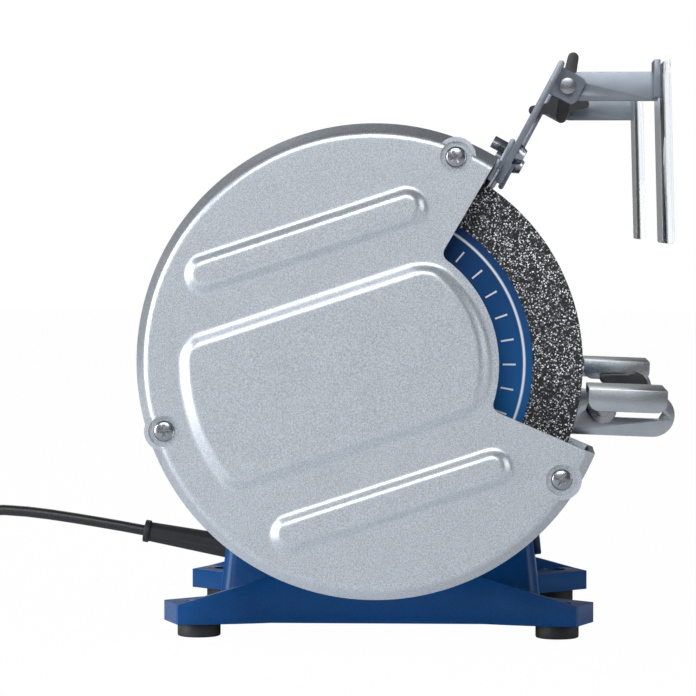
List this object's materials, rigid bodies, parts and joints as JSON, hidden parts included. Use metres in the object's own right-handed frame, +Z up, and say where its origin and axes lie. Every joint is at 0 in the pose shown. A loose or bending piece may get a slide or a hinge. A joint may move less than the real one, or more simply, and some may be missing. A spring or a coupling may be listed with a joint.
{
  "type": "bench grinder",
  "caption": "Bench grinder with guarded abrasive wheels, adjustable tool rests, tilting eye shields, a push-button switch and a coiled mains lead.",
  "frame": {"origin": "centre of the four bench bolt holes, on the plane that the rubber feet stand on", "axes": "+X along the motor shaft to the operator's right, -Y towards the operator, +Z up"},
  "size_m": [0.45, 0.5149, 0.2878],
  "materials": {
    "blue_paint": "semi-gloss enamel on cast aluminium",
    "bezel_blue": "moulded plastic",
    "silver_paint": "satin metallic lacquer with fine sparkle",
    "zinc_plate": "zinc-plated sheet steel",
    "bright_steel": "turned and plated steel",
    "black_rubber": "moulded rubber",
    "black_plastic": "glass-filled nylon",
    "abrasive": "vitrified abrasive grain",
    "label_paper": "printed blotting paper",
    "laminations": "varnished electrical sheet",
    "copper": "varnished copper windings",
    "clear_plastic": "clear polycarbonate",
    "green_button": "moulded plastic",
    "red_button": "moulded plastic"
  },
  "bodies": {
    "frame": {"base_casting": "blue_paint", "base_cover": "black_plastic", "rubber_feet": "black_rubber", "motor_housing": "blue_paint", "end_shield_left": "blue_paint", "end_shield_right": "blue_paint", "stator_core": "laminations", "stator_windings": "copper", "through_bolts": "bright_steel", "capacitor": "black_plastic", "bearings": "bright_steel", "switch_bezel": "bezel_blue", "switch_body": "black_plastic", "cord_sleeve": "black_rubber", "cord": "black_rubber", "cord_tail": "black_rubber", "cord_coil": "black_rubber", "plug": "black_plastic", "inner_guard_left": "silver_paint", "inner_guard_right": "silver_paint", "guard_cover_left": "silver_paint", "guard_cover_right": "silver_paint", "guard_screws": "bright_steel", "cover_screws": "bright_steel", "rest_arm_left": "zinc_plate", "rest_arm_right": "zinc_plate", "arrestor_screws": "bright_steel"},
    "rotor": {"motor_shaft": "bright_steel", "rotor_core": "laminations", "grinding_wheel_left": "abrasive", "grinding_wheel_right": "abrasive", "wheel_labels": "label_paper", "wheel_flanges": "zinc_plate", "spindle_nuts": "bright_steel"},
    "start_button": {"start_button": "green_button"},
    "stop_button": {"stop_button": "red_button"},
    "rest_left": {"rest_table_left": "zinc_plate", "rest_clamp_left": "bright_steel"},
    "rest_knob_left": {"rest_knob_left": "black_plastic"},
    "arrestor_left": {"spark_arrestor_left": "zinc_plate", "shield_bar_left": "zinc_plate", "shield_bolts_left": "bright_steel"},
    "shield_left": {"shield_arm_left": "zinc_plate", "eye_shield_left": "clear_plastic"},
    "shield_knob_left": {"shield_knob_left": "black_plastic"},
    "rest_right": {"rest_table_right": "zinc_plate", "rest_clamp_right": "bright_steel"},
    "rest_knob_right": {"rest_knob_right": "black_plastic"},
    "arrestor_right": {"spark_arrestor_right": "zinc_plate", "shield_bar_right": "zinc_plate", "shield_bolts_right": "bright_steel"},
    "shield_right": {"shield_arm_right": "zinc_plate", "eye_shield_right": "clear_plastic"},
    "shield_knob_right": {"shield_knob_right": "black_plastic"}
  },
  "joints": [
    {"name": "rotor_spin", "type": "hinge", "parent": "frame", "child": "rotor", "pos_m": [0, 0, 0.1407], "axis": [1, 0, 0], "continuous": true},
    {"name": "start_press", "type": "slide", "parent": "frame", "child": "start_button", "axis": [0, 0.9934, -0.1149], "range_m": [0, 0.003], "stiffness_N_per_m": 500},
    {"name": "stop_press", "type": "slide", "parent": "frame", "child": "stop_button", "axis": [0, 0.9934, -0.1149], "range_m": [0, 0.003], "stiffness_N_per_m": 500},
    {"name": "rest_slide_left", "type": "slide", "parent": "frame", "child": "rest_left", "axis": [0, -0.9994, -0.0349], "range_m": [0, 0.022]},
    {"name": "rest_knob_turn_left", "type": "hinge", "parent": "rest_left", "child": "rest_knob_left", "pos_m": [-0.125, -0.1103, 0.1167], "axis": [1, 0, 0], "range_deg": [0, 360]},
    {"name": "arrestor_slide_left", "type": "slide", "parent": "frame", "child": "arrestor_left", "axis": [0, -0.5045, 0.8634], "range_m": [-0.0015, 0.008]},
    {"name": "shield_tilt_left", "type": "hinge", "parent": "arrestor_left", "child": "shield_left", "pos_m": [-0.159, -0.09292, 0.27107], "axis": [-1, 0, 0], "range_deg": [-12, 38]},
    {"name": "shield_knob_turn_left", "type": "hinge", "parent": "arrestor_left", "child": "shield_knob_left", "pos_m": [-0.159, -0.09292, 0.27107], "axis": [1, 0, 0], "range_deg": [0, 360]},
    {"name": "rest_slide_right", "type": "slide", "parent": "frame", "child": "rest_right", "axis": [0, -0.9994, -0.0349], "range_m": [-0.0045, 0]},
    {"name": "rest_knob_turn_right", "type": "hinge", "parent": "rest_right", "child": "rest_knob_right", "pos_m": [0.125, -0.13539, 0.11582], "axis": [1, 0, 0], "range_deg": [0, 360]},
    {"name": "arrestor_slide_right", "type": "slide", "parent": "frame", "child": "arrestor_right", "axis": [0, -0.5045, 0.8634], "range_m": [-0.0015, 0.008]},
    {"name": "shield_tilt_right", "type": "hinge", "parent": "arrestor_right", "child": "shield_right", "pos_m": [0.159, -0.09292, 0.27107], "axis": [-1, 0, 0], "range_deg": [-12, 38]},
    {"name": "shield_knob_turn_right", "type": "hinge", "parent": "arrestor_right", "child": "shield_knob_right", "pos_m": [0.159, -0.09292, 0.27107], "axis": [1, 0, 0], "range_deg": [0, 360]}
  ]
}
